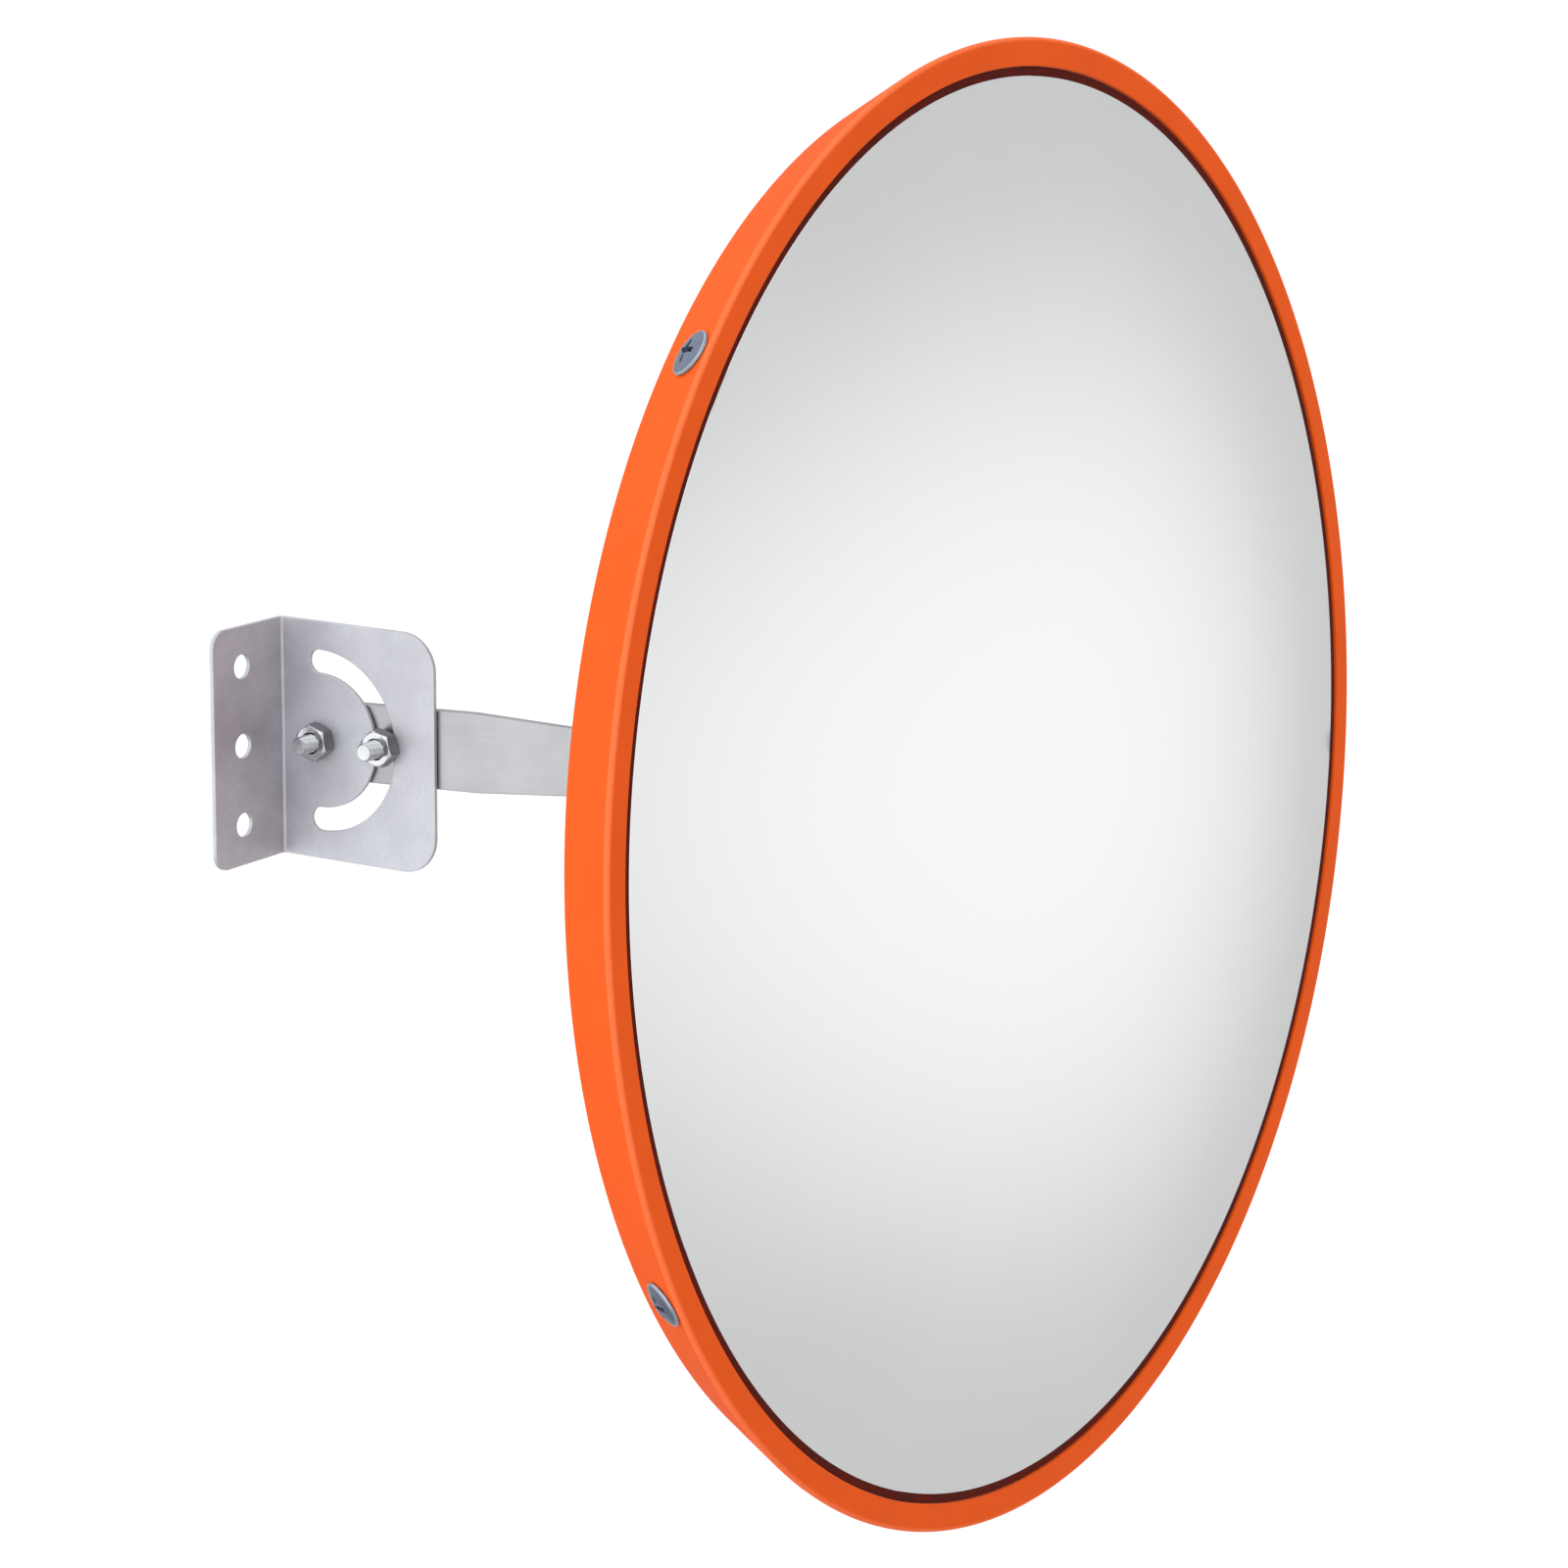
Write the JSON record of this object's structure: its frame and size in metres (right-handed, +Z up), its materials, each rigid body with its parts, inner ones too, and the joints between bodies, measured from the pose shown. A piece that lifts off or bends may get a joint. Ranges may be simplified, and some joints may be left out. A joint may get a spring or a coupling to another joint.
{
  "type": "traffic convex mirror",
  "caption": "Round convex safety mirror in an orange rim, held by a flat arm that tilts on a bent wall bracket with an arc slot and clamp bolts.",
  "frame": {"origin": "centre of the middle screw hole, on the wall bracket's back face, which lies on the wall plane y = 0", "axes": "+Z up, +Y into the wall, -Y out into the room where the mirror looks, +X to the side of the bracket that the arm and the mirror's centre are on"},
  "size_m": [0.4499, 0.3044, 0.4495],
  "materials": {
    "galvanised_steel": "galvanised sheet, satin",
    "arm_steel": "plated flat bar, satin",
    "bright_zinc": "bright zinc plate",
    "blue_zinc": "blue zinc plate",
    "orange_rim": "moulded, semi-matt orange",
    "orange_shell": "moulded, semi-matt orange",
    "dark_seal": "moulded, matt",
    "mirror_face": "polished convex mirror"
  },
  "bodies": {
    "bracket": {"wall_bracket": "galvanised_steel", "pivot_bolt": "bright_zinc", "pivot_washer": "bright_zinc", "pivot_nut": "bright_zinc"},
    "mirror_arm": {"arm": "arm_steel", "guide_bolt": "bright_zinc", "guide_washer": "bright_zinc", "guide_nut": "bright_zinc", "foot_bolt_1": "bright_zinc", "foot_bolt_2": "bright_zinc", "foot_washer_1": "bright_zinc", "foot_washer_2": "bright_zinc", "foot_nut_1": "bright_zinc", "foot_nut_2": "bright_zinc", "backing_plate": "galvanised_steel", "back_shell": "orange_shell", "front_rim": "orange_rim", "rim_gasket": "dark_seal", "mirror_lens": "mirror_face", "rim_screw_1": "blue_zinc", "rim_screw_2": "blue_zinc", "rim_screw_3": "blue_zinc", "rim_screw_4": "blue_zinc", "rim_screw_5": "blue_zinc", "rim_nut_1": "bright_zinc", "rim_nut_2": "bright_zinc", "rim_nut_3": "bright_zinc", "rim_nut_4": "bright_zinc", "rim_nut_5": "bright_zinc"}
  },
  "joints": [
    {"name": "arm_tilt", "type": "hinge", "parent": "bracket", "child": "mirror_arm", "pos_m": [0.02225, -0.0168, 0], "axis": [-1, 0, 0], "range_deg": [-90.5, 85.4]}
  ]
}
